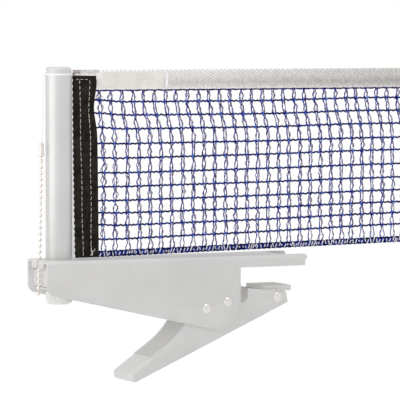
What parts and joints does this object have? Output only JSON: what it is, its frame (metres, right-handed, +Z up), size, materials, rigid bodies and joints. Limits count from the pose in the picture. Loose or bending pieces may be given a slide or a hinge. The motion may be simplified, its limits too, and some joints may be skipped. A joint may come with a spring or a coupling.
{
  "type": "table tennis net clamp",
  "caption": "Spring-jaw table tennis net clamp with tubular post, ball chain tensioner and the end section of a blue net with white head tape.",
  "frame": {"origin": "contact face of the upper jaw above the table's side edge, in the middle plane of the net", "axes": "+X from the table's edge in over the table, +Y along that edge, +Z up, square to the table"},
  "size_m": [0.3189, 0.044, 0.24],
  "materials": {
    "shell_paint": "satin",
    "cast_shell": "satin",
    "post_paint": "satin",
    "plated_steel": "satin",
    "spring_wire": "satin",
    "knob_metal": "satin",
    "bright_chain": "polished",
    "pale_rubber": "matte",
    "pale_plastic": "matte",
    "cap_plastic": "satin",
    "white_ring": "gloss",
    "white_welt": "matte",
    "black_sleeve": "matte",
    "white_tape": "matte",
    "pale_patch": "matte",
    "blue_twine": "matte",
    "blue_hem": "matte",
    "white_cord": "matte"
  },
  "bodies": {
    "clamp": {"clamp_body": "shell_paint", "upper_liner": "pale_rubber", "pivot_pin": "plated_steel", "anchor_pin": "plated_steel", "pivot_washers": "plated_steel", "spacer_sleeve": "plated_steel", "jaw_spring": "spring_wire", "spindle_bracket": "plated_steel", "thrust_washer": "pale_plastic"},
    "lever_arm": {"lever": "shell_paint", "pad_pin": "plated_steel"},
    "pad": {"pad_shoe": "plated_steel", "lower_pad": "pale_rubber"},
    "height_screw": {"knob": "knob_metal", "spindle": "plated_steel", "spindle_clip": "spring_wire"},
    "post": {"foot_block": "cast_shell", "post_tube": "post_paint", "post_plug": "plated_steel", "foot_screws": "plated_steel", "cap_ring": "white_ring", "post_cap": "cap_plastic", "net_welt": "white_welt", "net_sleeve": "black_sleeve", "head_tape": "white_tape", "tape_patch": "pale_patch", "net_mesh": "blue_twine", "net_hem": "blue_hem", "tape_cord": "white_cord", "head_cord": "white_cord", "chain_coupling": "bright_chain", "ball_chain": "bright_chain"}
  },
  "joints": [
    {"name": "lever_swing", "type": "hinge", "parent": "clamp", "child": "lever_arm", "pos_m": [-0.0104, 0, -0.0261], "axis": [0, 1, 0], "range_deg": [-10, 25], "stiffness_Nm_per_rad": 2.5, "springref_deg": -60.16, "deforming": ["jaw_spring"]},
    {"name": "pad_swivel", "type": "hinge", "parent": "lever_arm", "child": "pad", "pos_m": [0.0334, 0, -0.0241], "axis": [0, -1, 0], "range_deg": [-12, 27]},
    {"name": "knob_spin", "type": "hinge", "parent": "clamp", "child": "height_screw", "pos_m": [-0.1425, 0, -0.02], "axis": [0, 0, 1], "range_deg": [-181, 1981]},
    {"name": "post_slide", "type": "slide", "parent": "clamp", "child": "post", "axis": [0, 0, 1], "range_m": [-0.0005, 0.0055]}
  ],
  "couplings": [
    {"joint": "knob_spin", "follows": "post_slide", "rad_per_m": 6283.2}
  ]
}
